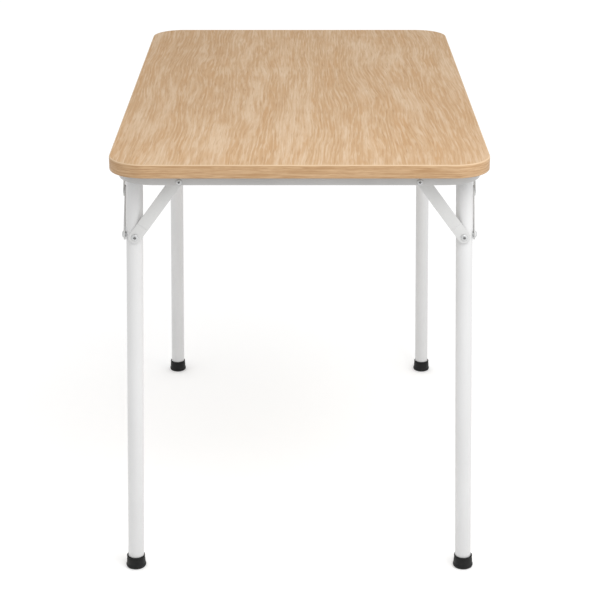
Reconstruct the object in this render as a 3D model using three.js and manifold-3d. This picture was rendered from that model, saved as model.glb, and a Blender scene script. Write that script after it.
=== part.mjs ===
// Folding-leg table: a laminated board on two hinged tubular leg frames.
// Millimetres, +Z up. Origin on the floor under the middle of the board, +Y towards the far end.

import * as THREE from 'three';
import { mergeVertices } from 'three/addons/utils/BufferGeometryUtils.js';
import Module from 'manifold-3d';

const manifold = await Module();
manifold.setup();

// ---- driving dimensions ----

// Clearance left between pieces that touch.
const GAP = 0.3;

const TOP = {
  length: 1000,
  width: 600,
  height: 740,
  thickness: 22,
  cornerRadius: 60,
  band: 2,
  laminate: 1,
  backing: 0.7,
};
const UNDERSIDE = TOP.height - TOP.thickness;

// Pressed-steel bow under each end: a web with an inward flange on top.
const BOW = {
  endInset: 18,
  sideInset: 13,
  cornerRadius: 60,
  height: 15.7,
  web: 2,
  flangeWidth: 14,
  flange: 1.5,
};
BOW.x = TOP.width / 2 - BOW.sideInset;
BOW.y = TOP.length / 2 - BOW.endInset;
BOW.top = UNDERSIDE - GAP;
BOW.bottom = BOW.top - BOW.height;
BOW.leafTop = BOW.top - BOW.flange - GAP;

// Fold axis of each leg frame, set in from the bow.
const FOLD_INSET = 50;
const FOLD_Y = BOW.y - FOLD_INSET;

const LEG = { radius: 13.5, wall: 1.5 };
const CROSS_TUBE = { radius: 11, wall: 1.5 };
const CAP = { plugDepth: 12, dome: LEG.radius + 0.5, domeDrop: 4 };
const FERRULE = {
  floor: 5,
  height: 22,
  rim: LEG.radius + 2.1,
  waist: LEG.radius + 2.5,
  base: LEG.radius + 3.75,
  sole: LEG.radius + 1.1,
};

// Two-link folding stay on the outer side of each leg.
const STAY = {
  legDrop: 98,
  anchorIn: 75,
  flangeClearance: 0.4,
  lowerLength: 74,
  width: 18,
  thickness: 2.2,
  legClearance: 1.7,
  pastAnchor: 3,
};

// One leg frame: its fold axis below the board, its stays in from the arm of the bow, how far its
// legs lean out down to the floor, and how far they stand up past the axis.
function legSet(name, { axisDrop, armClearance, leanOut, stub }) {
  const axisZ = UNDERSIDE - axisDrop;
  const stack = LEG.radius + STAY.legClearance + 2 * STAY.thickness + GAP;
  const legAtRivet = BOW.x - BOW.web - armClearance - stack;
  const pivotX = legAtRivet - leanOut * STAY.legDrop / axisZ;
  return { name, axisZ, pivotX, floorX: pivotX + leanOut, stub };
}

// The far pair hangs lower and stands narrower, so it folds up underneath the near pair.
const NEAR_DROP = CAP.dome + 1;
const STACK_DROP = 2 * LEG.radius + 11;
const STUB_BELOW_BOARD = 17;
const NEAR = legSet('near', {
  axisDrop: NEAR_DROP,
  armClearance: 0.4,
  leanOut: 20.9,
  stub: CAP.domeDrop,
});
const FAR = legSet('far', {
  axisDrop: NEAR_DROP + STACK_DROP,
  armClearance: 8.2,
  leanOut: 12.6,
  stub: NEAR_DROP + STACK_DROP - STUB_BELOW_BOARD,
});
STAY.anchorUp = BOW.leafTop - STAY.flangeClearance - STAY.width / 2 - NEAR.axisZ;

// Flat brace from the cross tube down to the front of each leg.
const BRACE = {
  width: 20,
  thickness: 2.5,
  topInset: 96.1,
  drop: 98.4,
  inboard: 1.5,
  flat: 22,
  step: 1,
  stepRun: 4,
};
BRACE.topX = BOW.x - BRACE.topInset;

// Loop bracket round the cross tube, beside the brace, with a tab on the bow.
const HANGER = { braceClearance: 6.9, width: 22, sheet: 2, loopWall: 2, stem: 4, tabMargin: 10, tabRise: 0.5 };
HANGER.inner = BRACE.topX - BRACE.width / 2 - HANGER.braceClearance - HANGER.width;

const ANCHOR = { sideMargin: 3, below: 0.5, thickness: 2, flangeReach: 7.7 };

const RIVET = {
  bow: { shank: 2.4, head: 4.75, headHeight: 2, hole: 1.9 },
  leg: { shank: 2.4, head: 5.8, headHeight: 2.6, hole: 1.9 },
  pivot: { shank: 3, head: 5.8, headHeight: 2.4, hole: 0 },
};
const BOW_RIVET = { inset: 99, rise: 5.5 };
BOW_RIVET.x = BOW.x - BOW_RIVET.inset;
BOW_RIVET.z = BOW.bottom + BOW_RIVET.rise;
const HOLE_DEPTH = 1.6;
const COLLAR_RADIUS = 5;

const SEGMENTS = { tube: 24, rivet: 12, corner: 10, end: 6, dome: 4 };

// ---- materials ----

function material(color, roughness, metalness) {
  return new THREE.MeshStandardMaterial({ color, roughness, metalness });
}

const MATERIALS = {
  laminate: material(0xc8a683, 0.45, 0),
  band: material(0xc9a880, 0.5, 0),
  core: material(0xb79a72, 0.85, 0),
  backing: material(0xb9b2a6, 0.7, 0),
  steel: material(0xd9dad8, 0.4, 0.1),
  bow: material(0xb4b3b0, 0.45, 0.1),
  rivet: material(0xaeb0b2, 0.35, 0.9),
  rubber: material(0x161616, 0.8, 0),
  cap: material(0x2a2a2a, 0.6, 0),
};

// ---- solids ----

// Turns every face outwards when the volume comes out negative.
function outward(geometry) {
  const welded = mergeVertices(stripped(geometry), 1e-5);
  const position = welded.attributes.position;
  const index = welded.index;
  const corners = [new THREE.Vector3(), new THREE.Vector3(), new THREE.Vector3()];
  let volume = 0;
  for (let i = 0; i < index.count; i += 3) {
    corners.forEach((corner, k) => corner.fromBufferAttribute(position, index.getX(i + k)));
    volume += corners[0].dot(corners[1].cross(corners[2]));
  }
  if (volume < 0) {
    for (let i = 0; i < index.count; i += 3) {
      const second = index.getX(i + 1);
      index.setX(i + 1, index.getX(i + 2));
      index.setX(i + 2, second);
    }
  }
  return welded;
}

function stripped(geometry) {
  const copy = geometry.clone();
  copy.deleteAttribute('normal');
  copy.deleteAttribute('uv');
  return copy;
}

function toSolid(geometry) {
  const welded = outward(geometry);
  return new manifold.Manifold(new manifold.Mesh({
    numProp: 3,
    vertProperties: new Float32Array(welded.attributes.position.array),
    triVerts: new Uint32Array(welded.index.array),
  }));
}

function fromSolid(solid) {
  const mesh = solid.getMesh();
  const geometry = new THREE.BufferGeometry();
  geometry.setAttribute('position', new THREE.BufferAttribute(new Float32Array(mesh.vertProperties), 3));
  geometry.setIndex(new THREE.BufferAttribute(new Uint32Array(mesh.triVerts), 1));
  geometry.computeVertexNormals();
  return geometry;
}

function join(...pieces) {
  return pieces.map(toSolid).reduce((all, piece) => all.add(piece));
}

function cut(solid, ...tools) {
  return tools.map(toSolid).reduce((rest, tool) => rest.subtract(tool), solid);
}

function box(x0, x1, y0, y1, z0, z1) {
  const geometry = new THREE.BoxGeometry(x1 - x0, y1 - y0, z1 - z0);
  return geometry.translate((x0 + x1) / 2, (y0 + y1) / 2, (z0 + z1) / 2);
}

// Extrudes an outline lying in the XY plane from z0 up to z1.
function prism(shape, z0, z1) {
  const geometry = new THREE.ExtrudeGeometry(shape, { depth: z1 - z0, bevelEnabled: false });
  return geometry.translate(0, 0, z0);
}

// Solid of revolution about Z from [radius, z] pairs.
function turned(profile, segments) {
  const points = profile.map(([radius, z]) => new THREE.Vector2(radius, z));
  return new THREE.LatheGeometry(points, segments).rotateX(Math.PI / 2);
}

function tube(radius, wall, z0, z1) {
  const inner = radius - wall;
  return turned([[radius, z0], [radius, z1], [inner, z1], [inner, z0], [radius, z0]], SEGMENTS.tube);
}

// Round bar about Z, used for pins and for cutting holes.
function bar(radius, z0, z1, segments = SEGMENTS.rivet) {
  const geometry = new THREE.CylinderGeometry(radius, radius, z1 - z0, segments);
  return geometry.rotateX(Math.PI / 2).translate(0, 0, (z0 + z1) / 2);
}

// Carries a piece made about the Z axis to an origin, with its Z along one direction and X along another.
function place(geometry, origin, zDirection, xDirection) {
  const basis = new THREE.Matrix4().makeBasis(
    xDirection,
    new THREE.Vector3().crossVectors(zDirection, xDirection),
    zDirection,
  );
  return geometry.applyMatrix4(basis.setPosition(origin));
}

const X = new THREE.Vector3(1, 0, 0);
const Y = new THREE.Vector3(0, 1, 0);
const Z = new THREE.Vector3(0, 0, 1);

function along(direction, sign) {
  return direction.clone().multiplyScalar(sign);
}

function arc(cx, cy, radius, from, to, steps) {
  const points = [];
  for (let i = 0; i <= steps; i += 1) {
    const angle = from + (to - from) * i / steps;
    points.push(new THREE.Vector2(cx + radius * Math.cos(angle), cy + radius * Math.sin(angle)));
  }
  return points;
}

function named(name, geometry, finish) {
  const mesh = new THREE.Mesh(geometry, finish);
  mesh.name = name;
  return mesh;
}

// ---- board ----

function boardOutline(inset) {
  const radius = TOP.cornerRadius - inset;
  const cx = TOP.width / 2 - TOP.cornerRadius;
  const cy = TOP.length / 2 - TOP.cornerRadius;
  const quarter = Math.PI / 2;
  const centres = [[cx, cy], [-cx, cy], [-cx, -cy], [cx, -cy]];
  return centres.flatMap(([x, y], i) => arc(x, y, radius, i * quarter, (i + 1) * quarter, SEGMENTS.corner));
}

function board() {
  const inner = boardOutline(TOP.band + GAP);
  const ring = new THREE.Shape(boardOutline(0));
  ring.holes.push(new THREE.Path(boardOutline(TOP.band)));
  const laminateBottom = TOP.height - TOP.laminate;
  const backingTop = UNDERSIDE + TOP.backing;
  const slab = (z0, z1) => prism(new THREE.Shape(inner), z0, z1);
  return [
    named('top_laminate', slab(laminateBottom, TOP.height), MATERIALS.laminate),
    named('top_core', slab(backingTop + GAP, laminateBottom - GAP), MATERIALS.core),
    named('top_backing', slab(UNDERSIDE, backingTop), MATERIALS.backing),
    named('edge_band', prism(ring, UNDERSIDE, TOP.height), MATERIALS.band),
  ];
}

// ---- end hardware: everything below is drawn for the near end, the far end is turned half round ----

function bowLine(inset) {
  const armEnd = FOLD_Y - STAY.anchorIn - STAY.width / 2 - STAY.pastAnchor;
  const radius = BOW.cornerRadius - inset;
  const cx = BOW.x - BOW.cornerRadius;
  const cy = BOW.cornerRadius - BOW.y;
  const x = BOW.x - inset;
  return [
    new THREE.Vector2(x, -armEnd),
    ...arc(cx, cy, radius, 0, -Math.PI / 2, SEGMENTS.corner),
    ...arc(-cx, cy, radius, -Math.PI / 2, -Math.PI, SEGMENTS.corner),
    new THREE.Vector2(-x, -armEnd),
  ];
}

function bowStrip(outer, inner, z0, z1) {
  const outline = [...bowLine(outer), ...bowLine(inner).reverse()];
  return prism(new THREE.Shape(outline), z0, z1);
}

function stayAnchor(end) {
  return { y: STAY.anchorIn - FOLD_Y, z: end.axisZ + STAY.anchorUp };
}

function bow(end) {
  const body = join(
    bowStrip(0, BOW.web, BOW.bottom, BOW.top),
    bowStrip(0, BOW.flangeWidth, BOW.top - BOW.flange, BOW.top),
  );
  const rivetHoles = [1, -1].map((side) => {
    const hole = bar(RIVET.bow.shank + GAP, -BOW.web, BOW.web);
    return place(hole, new THREE.Vector3(side * BOW_RIVET.x, -BOW.y, BOW_RIVET.z), Y, X);
  });
  const anchor = stayAnchor(end);
  const pivotHole = bar(RIVET.pivot.shank + GAP, -TOP.width, TOP.width);
  place(pivotHole, new THREE.Vector3(0, anchor.y, anchor.z), X, Y);
  const holes = end === NEAR ? [...rivetHoles, pivotHole] : rivetHoles;
  return fromSolid(cut(body, ...holes));
}

function hanger(end, side) {
  const x0 = Math.min(side * HANGER.inner, side * (HANGER.inner + HANGER.width));
  const x1 = x0 + HANGER.width;
  const tabEdge = side * (BOW_RIVET.x + HANGER.tabMargin);
  const webFace = -BOW.y + BOW.web + GAP;
  const leafTop = BOW.leafTop;
  const bore = CROSS_TUBE.radius + GAP;
  const axis = new THREE.Vector3(0, -FOLD_Y, end.axisZ);
  const loop = place(bar(bore + HANGER.loopWall, x0, x1, SEGMENTS.tube), axis, X, Y);
  const leaf = box(x0, x1, webFace, HANGER.stem / 2 - FOLD_Y, leafTop - HANGER.sheet, leafTop);
  const tab = box(
    Math.min(x0, tabEdge), Math.max(x1, tabEdge),
    webFace, webFace + HANGER.sheet, BOW.bottom + HANGER.tabRise, leafTop,
  );
  const stem = box(x0, x1, -FOLD_Y - HANGER.stem / 2, -FOLD_Y + HANGER.stem / 2, end.axisZ, leafTop);
  const boreCut = place(bar(bore, x0 - GAP, x1 + GAP, SEGMENTS.tube), axis, X, Y);
  const rivetHole = bar(RIVET.bow.shank + GAP, -HANGER.sheet, HANGER.sheet * 2);
  place(rivetHole, new THREE.Vector3(side * BOW_RIVET.x, webFace, BOW_RIVET.z), Y, X);
  return fromSolid(cut(join(loop, leaf, tab, stem), boreCut, rivetHole));
}

// Rivet about Z: optional collar, shank, then a domed head with an optional mandrel hole.
function rivet(kind, shankLength, collarLength = 0) {
  const seat = collarLength + shankLength;
  const rise = kind.headHeight;
  const profile = [[0, 0]];
  if (collarLength > 0) {
    profile.push([COLLAR_RADIUS, 0], [COLLAR_RADIUS, collarLength]);
  } else {
    profile.push([kind.shank, 0]);
  }
  if (collarLength > 0) {
    profile.push([kind.shank, collarLength]);
  }
  profile.push([kind.shank, seat], [kind.head, seat], [kind.head * 0.97, seat + rise * 0.3]);
  profile.push([kind.head * 0.78, seat + rise * 0.72], [kind.head * 0.5, seat + rise]);
  if (kind.hole > 0) {
    profile.push([kind.hole, seat + rise], [kind.hole, seat + rise - HOLE_DEPTH]);
    profile.push([0, seat + rise - HOLE_DEPTH]);
  } else {
    profile.push([0, seat + rise * 1.04]);
  }
  return turned(profile, SEGMENTS.rivet);
}

function bowRivet(side) {
  const shank = BOW.web + HANGER.sheet + 2 * GAP;
  const tail = new THREE.Vector3(side * BOW_RIVET.x, BOW.web + HANGER.sheet + GAP - BOW.y, BOW_RIVET.z);
  return place(rivet(RIVET.bow, shank), tail, along(Y, -1), X);
}

// ---- leg frame, drawn about its fold axis ----

function legX(end, drop) {
  return end.pivotX + (end.floorX - end.pivotX) * drop / end.axisZ;
}

// Leans an upright piece so that its foot stands at floorX while its sole stays level.
function leaned(geometry, end, side) {
  const slope = side * (end.floorX - end.pivotX) / end.axisZ;
  const lean = new THREE.Matrix4().makeShear(0, 0, 0, 0, -slope, 0);
  return geometry.applyMatrix4(lean).translate(side * end.pivotX, 0, 0);
}

function legTube(end) {
  return tube(LEG.radius, LEG.wall, FERRULE.floor + GAP - end.axisZ, end.stub);
}

function legCap(end) {
  const plug = LEG.radius - LEG.wall - GAP;
  const seat = end.stub + GAP;
  const centre = end.stub - CAP.domeDrop;
  const start = Math.asin((seat - centre) / CAP.dome);
  const dome = arc(0, centre, CAP.dome, start, Math.PI / 2, SEGMENTS.dome).map((p) => [Math.abs(p.x), p.y]);
  dome[dome.length - 1][0] = 0;
  const bottom = end.stub - CAP.plugDepth;
  return turned([[0, bottom], [plug, bottom], [plug, seat], ...dome], SEGMENTS.tube);
}

function ferrule(end) {
  const bore = LEG.radius + GAP;
  const floor = -end.axisZ;
  const profile = [
    [0, 0],
    [FERRULE.sole, 0],
    [FERRULE.base - 0.7, 0.9],
    [FERRULE.base, 2.6],
    [FERRULE.base - 0.2, 4.6],
    [FERRULE.waist, 8],
    [FERRULE.rim, FERRULE.height - 1.2],
    [FERRULE.rim - 0.6, FERRULE.height],
    [bore, FERRULE.height],
    [bore, FERRULE.floor],
    [0, FERRULE.floor],
  ];
  return turned(profile.map(([radius, z]) => [radius, z + floor]), SEGMENTS.tube);
}

function crossTube(end) {
  const half = end.pivotX - LEG.radius - GAP;
  return place(tube(CROSS_TUBE.radius, CROSS_TUBE.wall, -half, half), new THREE.Vector3(), X, Y);
}

function capsule(length, width) {
  const radius = width / 2;
  const quarter = Math.PI / 2;
  return [
    ...arc(length, 0, radius, -quarter, quarter, SEGMENTS.end),
    ...arc(0, 0, radius, quarter, 3 * quarter, SEGMENTS.end),
  ];
}

function braceEnds(end, side) {
  const lower = new THREE.Vector3(side * (legX(end, BRACE.drop) - BRACE.inboard), 0, -BRACE.drop);
  const upper = new THREE.Vector3(side * BRACE.topX, 0, 0);
  return { lower, upper };
}

// Flat bar seen edge-on: flat against the leg, pressed out in a small step, then set back to
// meet the thinner cross tube.
function braceProfile(length) {
  const setBack = LEG.radius - CROSS_TUBE.radius;
  const end = length + BRACE.width;
  const stepEnd = BRACE.flat + BRACE.stepRun;
  const slope = (BRACE.step + setBack) / (length + BRACE.width / 2 - stepEnd);
  const inner = [
    [-BRACE.width, 0],
    [BRACE.flat, 0],
    [stepEnd, BRACE.step],
    [end, BRACE.step - slope * (end - stepEnd)],
  ];
  const outer = inner.map(([x, y]) => [x, y + BRACE.thickness]).reverse();
  return new THREE.Shape([...inner, ...outer].map(([x, y]) => new THREE.Vector2(x, y)));
}

function brace(end, side) {
  const { lower, upper } = braceEnds(end, side);
  const direction = upper.clone().sub(lower);
  const length = direction.length();
  const edgeOn = prism(braceProfile(length), -BRACE.width, BRACE.width);
  const outline = prism(new THREE.Shape(capsule(length, BRACE.width)), -BRACE.width, BRACE.width);
  outline.rotateX(Math.PI / 2);
  const hole = bar(RIVET.leg.shank + GAP, -BRACE.width, BRACE.width).rotateX(Math.PI / 2);
  const solid = toSolid(edgeOn).intersect(toSolid(outline));
  const flat = fromSolid(cut(solid, hole));
  const u = direction.normalize();
  const w = along(Y, -1);
  const basis = new THREE.Matrix4().makeBasis(u, w, new THREE.Vector3().crossVectors(u, w));
  basis.setPosition(lower.x, -LEG.radius - GAP, lower.z);
  return flat.applyMatrix4(basis);
}

function braceRivet(end, side) {
  const { lower } = braceEnds(end, side);
  const foot = new THREE.Vector3(lower.x, -LEG.radius - GAP, lower.z);
  return place(rivet(RIVET.leg, BRACE.thickness + GAP), foot, along(Y, -1), X);
}

// ---- folding stays, drawn about the fold axis of their frame ----

// Rivet on the leg, knuckle and anchor of a stay that stands straight while the leg is down.
function stayPoints() {
  const leg = new THREE.Vector3(0, 0, -STAY.legDrop);
  const anchor = new THREE.Vector3(0, STAY.anchorIn, STAY.anchorUp);
  const run = anchor.clone().sub(leg);
  const knuckle = run.clone().setLength(STAY.lowerLength).add(leg);
  return { leg, knuckle, anchor };
}

// Distance out from the middle of the table to the inner face of the lower link and of the upper link.
function stayFaces(end) {
  const lower = legX(end, STAY.legDrop) + LEG.radius + STAY.legClearance;
  const upper = lower + STAY.thickness + GAP;
  return { lower, upper };
}

function link(from, to, face, side, holes) {
  const direction = to.clone().sub(from);
  const shape = new THREE.Shape(capsule(direction.length(), STAY.width));
  holes.forEach((distance) => {
    const hole = new THREE.Path();
    hole.absarc(distance, 0, RIVET.pivot.shank + GAP, 0, 2 * Math.PI, false);
    shape.holes.push(hole);
  });
  const start = side > 0 ? face : -face - STAY.thickness;
  const geometry = new THREE.ExtrudeGeometry(shape, {
    depth: STAY.thickness,
    bevelEnabled: false,
    curveSegments: SEGMENTS.rivet,
  });
  return place(geometry, new THREE.Vector3(start, from.y, from.z), X, direction.normalize());
}

function lowerLink(end, side) {
  const { leg, knuckle } = stayPoints();
  return link(leg, knuckle, stayFaces(end).lower, side, [0]);
}

function upperLink(end, side) {
  const { knuckle, anchor } = stayPoints();
  const span = anchor.distanceTo(knuckle);
  return link(knuckle, anchor, stayFaces(end).upper, side, [0, span]);
}

function pivotRivet(point, from, shank, collar, side) {
  const foot = new THREE.Vector3(side * from, point.y, point.z);
  return place(rivet(RIVET.pivot, shank, collar), foot, along(X, side), Y);
}

function legPivotRivet(end, side) {
  const start = legX(end, STAY.legDrop) + LEG.radius + GAP;
  const collar = stayFaces(end).lower - GAP - start;
  return pivotRivet(stayPoints().leg, start, STAY.thickness + 2 * GAP, collar, side);
}

function knuckleRivet(end, side) {
  return pivotRivet(stayPoints().knuckle, stayFaces(end).upper, STAY.thickness + GAP, 0, side);
}

// The near stays are riveted to the arms of the bow, the far stays to hanging plates.
function anchorFace(end) {
  return end === NEAR ? BOW.x - BOW.web : stayFaces(end).upper + STAY.thickness + GAP;
}

function anchorRivet(end, side) {
  const from = stayFaces(end).upper;
  const backing = end === NEAR ? BOW.web : ANCHOR.thickness;
  const shank = anchorFace(end) + backing + GAP - from;
  return pivotRivet(stayPoints().anchor, from, shank, 0, side);
}

function anchorPlate(end, side) {
  const { y, z } = stayAnchor(end);
  const inner = anchorFace(end);
  const outer = inner + ANCHOR.thickness;
  const topZ = BOW.leafTop;
  const reach = STAY.width / 2 + ANCHOR.sideMargin;
  const y0 = y - reach;
  const y1 = y + reach;
  const sorted = (a, b) => [Math.min(side * a, side * b), Math.max(side * a, side * b)];
  const plate = box(...sorted(inner, outer), y0, y1, z - STAY.width / 2 - ANCHOR.below, topZ);
  const flange = box(...sorted(inner, inner + ANCHOR.flangeReach), y0, y1, topZ - ANCHOR.thickness, topZ);
  const hole = bar(RIVET.pivot.shank + GAP, inner - ANCHOR.thickness, outer + ANCHOR.thickness);
  place(hole, new THREE.Vector3(0, y, z), along(X, side), Y);
  return fromSolid(cut(join(plate, flange), hole));
}

// ---- assembly ----

function sideName(end, side) {
  const worldSide = end === NEAR ? side : -side;
  return worldSide > 0 ? 'right' : 'left';
}

function legFrame(end) {
  const frame = new THREE.Group();
  frame.add(named(`${end.name}_cross_tube`, outward(crossTube(end)), MATERIALS.steel));
  [1, -1].forEach((side) => {
    const label = `${end.name}_${sideName(end, side)}`;
    const add = (name, geometry, finish) => frame.add(named(`${label}_${name}`, geometry, finish));
    add('leg', outward(leaned(legTube(end), end, side)), MATERIALS.steel);
    add('leg_cap', outward(leaned(legCap(end), end, side)), MATERIALS.cap);
    add('ferrule', outward(leaned(ferrule(end), end, side)), MATERIALS.rubber);
    add('brace', brace(end, side), MATERIALS.steel);
    add('brace_rivet', outward(braceRivet(end, side)), MATERIALS.rivet);
    add('lower_stay_link', outward(lowerLink(end, side)), MATERIALS.steel);
    add('upper_stay_link', outward(upperLink(end, side)), MATERIALS.steel);
    add('leg_pivot_rivet', outward(legPivotRivet(end, side)), MATERIALS.rivet);
    add('knuckle_rivet', outward(knuckleRivet(end, side)), MATERIALS.rivet);
    add('anchor_rivet', outward(anchorRivet(end, side)), MATERIALS.rivet);
  });
  frame.position.set(0, -FOLD_Y, end.axisZ);
  return frame;
}

function endHardware(end) {
  const group = new THREE.Group();
  group.add(named(`${end.name}_end_bow`, bow(end), MATERIALS.bow));
  [1, -1].forEach((side) => {
    const label = `${end.name}_${sideName(end, side)}`;
    group.add(named(`${label}_hanger`, hanger(end, side), MATERIALS.steel));
    group.add(named(`${label}_bow_rivet`, outward(bowRivet(side)), MATERIALS.rivet));
    if (end === FAR) {
      group.add(named(`${label}_anchor_plate`, anchorPlate(end, side), MATERIALS.steel));
    }
  });
  group.add(legFrame(end));
  return group;
}

const table = new THREE.Group();
table.add(...board());
const nearEnd = endHardware(NEAR);
const farEnd = endHardware(FAR);
farEnd.rotation.z = Math.PI;
table.add(nearEnd, farEnd);

export default table;
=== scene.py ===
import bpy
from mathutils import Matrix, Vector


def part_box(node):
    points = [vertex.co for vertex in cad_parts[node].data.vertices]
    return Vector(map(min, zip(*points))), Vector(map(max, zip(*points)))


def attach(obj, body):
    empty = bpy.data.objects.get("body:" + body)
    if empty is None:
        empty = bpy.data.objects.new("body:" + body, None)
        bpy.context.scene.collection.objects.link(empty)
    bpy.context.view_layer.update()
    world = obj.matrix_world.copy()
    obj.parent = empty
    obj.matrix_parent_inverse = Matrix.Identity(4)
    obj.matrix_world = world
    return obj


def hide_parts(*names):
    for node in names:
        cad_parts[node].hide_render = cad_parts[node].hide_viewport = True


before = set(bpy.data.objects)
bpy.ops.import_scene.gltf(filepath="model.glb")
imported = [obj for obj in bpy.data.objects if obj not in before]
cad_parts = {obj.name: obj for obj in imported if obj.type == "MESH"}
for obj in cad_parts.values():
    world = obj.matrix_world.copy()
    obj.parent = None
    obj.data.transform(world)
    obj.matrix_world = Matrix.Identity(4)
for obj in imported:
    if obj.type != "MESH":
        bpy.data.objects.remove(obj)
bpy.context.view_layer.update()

from math import atan2, cos, degrees, hypot, pi, radians, sin, sqrt

import bmesh
import bpy
from mathutils import Matrix, Vector

# A folding-leg table. Lengths are in metres, X across, Y along, Z up, with the near end at -Y.
# Most pieces are modelled once, on the right of the near end, and copied over to the other sides.
hair = 1e-5                                 # how close two places are when they are the same
across, along, upward = Vector((1, 0, 0)), Vector((0, 1, 0)), Vector((0, 0, 1))


# modelling helpers

def deselectAll():
    bpy.ops.object.select_all(action="DESELECT")


def pick(piece):
    deselectAll()
    piece.select_set(True)
    bpy.context.view_layer.objects.active = piece


def settle(piece, matrix):
    # puts the mesh at its place, and leaves the object at the origin
    piece.matrix_world = matrix
    pick(piece)
    bpy.ops.object.transform_apply(location=True, rotation=True, scale=True)
    return piece


def named(name):
    piece = bpy.context.object
    piece.name = piece.data.name = name
    return piece


def edit(piece):
    pick(piece)
    bpy.ops.object.mode_set(mode="EDIT")


def leave():
    bpy.ops.object.mode_set(mode="OBJECT")


def choose(piece, kind, test):
    # selects vertices, edges or faces by where they are
    modes = {"verts": "VERT", "edges": "EDGE", "faces": "FACE"}
    bpy.ops.mesh.select_mode(type=modes[kind])
    bpy.ops.mesh.select_all(action="DESELECT")
    mesh = bmesh.from_edit_mesh(piece.data)
    for part in getattr(mesh, kind):
        if test(part):
            part.select_set(True)
    mesh.select_flush_mode()
    bmesh.update_edit_mesh(piece.data)


def extrude(move):
    bpy.ops.mesh.extrude_region_move(TRANSFORM_OT_translate={"value": tuple(move)})


def roundCorners(offset, steps):
    bpy.ops.mesh.bevel(offset=offset, segments=steps, affect="VERTICES", clamp_overlap=False)


def bevelEdges(offset, steps):
    bpy.ops.mesh.bevel(offset=offset, segments=steps, affect="EDGES", clamp_overlap=True)


def tidyNormals():
    bpy.ops.mesh.select_all(action="SELECT")
    bpy.ops.mesh.remove_doubles(threshold=hair / 4)
    bpy.ops.mesh.normals_make_consistent(inside=False)


def addModifier(piece, kind, **settings):
    pick(piece)
    modifier = piece.modifiers.new(kind.lower(), kind)
    for name, value in settings.items():
        setattr(modifier, name, value)
    bpy.ops.object.modifier_apply(modifier=modifier.name)


def softenRims(piece, width, steps=2):
    addModifier(piece, "BEVEL", width=width, segments=steps, limit_method="ANGLE", angle_limit=radians(50))


def sheet(name, middle, wide, long, side=across, run=along):
    # a flat rectangle: wide along side, and long along run
    deselectAll()
    bpy.ops.mesh.primitive_plane_add(size=1)
    piece = named(name)
    normal = side.cross(run)
    axes = Matrix((side * wide, run * long, normal)).transposed().to_4x4()
    return settle(piece, Matrix.Translation(middle) @ axes)


def ribbon(name, path, side, wide):
    # a strip that follows a path, without thickness yet
    first, second = path[0], path[1]
    run = second - first
    piece = sheet(name, (first + second) / 2, wide, run.length, side, run.normalized())
    edit(piece)
    choose(piece, "edges", lambda edge: all(
        abs((vertex.co - second).dot(run)) < hair * run.length for vertex in edge.verts))
    for here, there in zip(path[1:], path[2:]):
        extrude(there - here)
    bpy.ops.mesh.select_all(action="SELECT")
    bpy.ops.mesh.normals_make_consistent(inside=False)
    leave()
    return piece


def roundTips(piece, path, offset, steps, tips=(0, -1)):
    # rounds the corners at the ends of a strip
    edit(piece)
    for tip in tips:
        end, before = path[tip], path[1 if tip == 0 else -2]
        run = (end - before).normalized()
        choose(piece, "verts", lambda vertex: abs((vertex.co - end).dot(run)) < hair
               and (vertex.co - end).length < offset * 6)
        roundCorners(offset, steps)
    leave()


def turned(name, profile, sides=48):
    # a round piece on the Z axis, from (radius, height) pairs; a last radius of 0 closes it in a point
    radius, height = profile[0]
    deselectAll()
    bpy.ops.mesh.primitive_circle_add(vertices=sides, radius=radius, fill_type="NGON")
    piece = settle(named(name), Matrix.Translation((0, 0, height)))
    edit(piece)
    bpy.ops.mesh.select_all(action="SELECT")
    for nextRadius, nextHeight in profile[1:]:
        extrude((0, 0, nextHeight - height))
        if nextRadius == 0:
            bpy.ops.mesh.merge(type="CENTER")
        else:
            share = nextRadius / radius
            bpy.ops.transform.resize(value=(share, share, 1), center_override=(0, 0, nextHeight))
        radius, height = nextRadius, nextHeight
    tidyNormals()
    leave()
    return piece


def aimed(origin, direction):
    return Matrix.Translation(origin) @ direction.to_track_quat("Z", "Y").to_matrix().to_4x4()


def bent(points, radius, steps=5):
    # a path whose corners are rounded
    path = [points[0]]
    for before, corner, after in zip(points, points[1:], points[2:]):
        back, ahead = (before - corner).normalized(), (after - corner).normalized()
        for step in range(steps + 1):
            share = step / steps
            weightBack, weightAhead = (1 - share) ** 2, share ** 2
            path.append(corner + back * radius * weightBack + ahead * radius * weightAhead)
    return path + [points[-1]]


def copyTo(master, name, matrix):
    piece = master.copy()
    piece.data = master.data.copy()
    piece.name = piece.data.name = name
    bpy.context.collection.objects.link(piece)
    piece.data.transform(matrix)
    if matrix.is_negative:
        piece.data.flip_normals()
    return piece


def discard(piece):
    bpy.data.objects.remove(piece)


def hand(piece, finish, slot, body, *nodes):
    # gives a piece its finish, the body that it rides on and the nodes that it stands for
    if not piece.data.materials:
        piece.data.materials.append(finish)
    pick(piece)
    bpy.ops.object.shade_smooth_by_angle(angle=radians(32))
    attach(piece, body)
    if nodes:
        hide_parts(*nodes)


def nearBox(end, kind):
    # the box of a right hand node, with the far end's turned round to the near end
    low, high = (Vector(corner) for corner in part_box(f"{end}_right_{kind}"))
    if end == "far":
        low.y, high.y = -high.y, -low.y
    return low, high


def setDown(master, end, kind, finish, slot, body, node=None):
    # copies a piece to the right and left of its end
    toEnd = 1 if end == "near" else -1
    for side, toSide in (("right", 1), ("left", -1)):
        name = f"{end}{side.capitalize()}{kind}"
        piece = copyTo(master, name, Matrix.Diagonal((toSide, toEnd, 1, 1)))
        nodes = [node.format(end=end, side=side)] if node else []
        hand(piece, finish, slot, body.format(end=end, side=side), *nodes)
    discard(master)


# finishes

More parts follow.
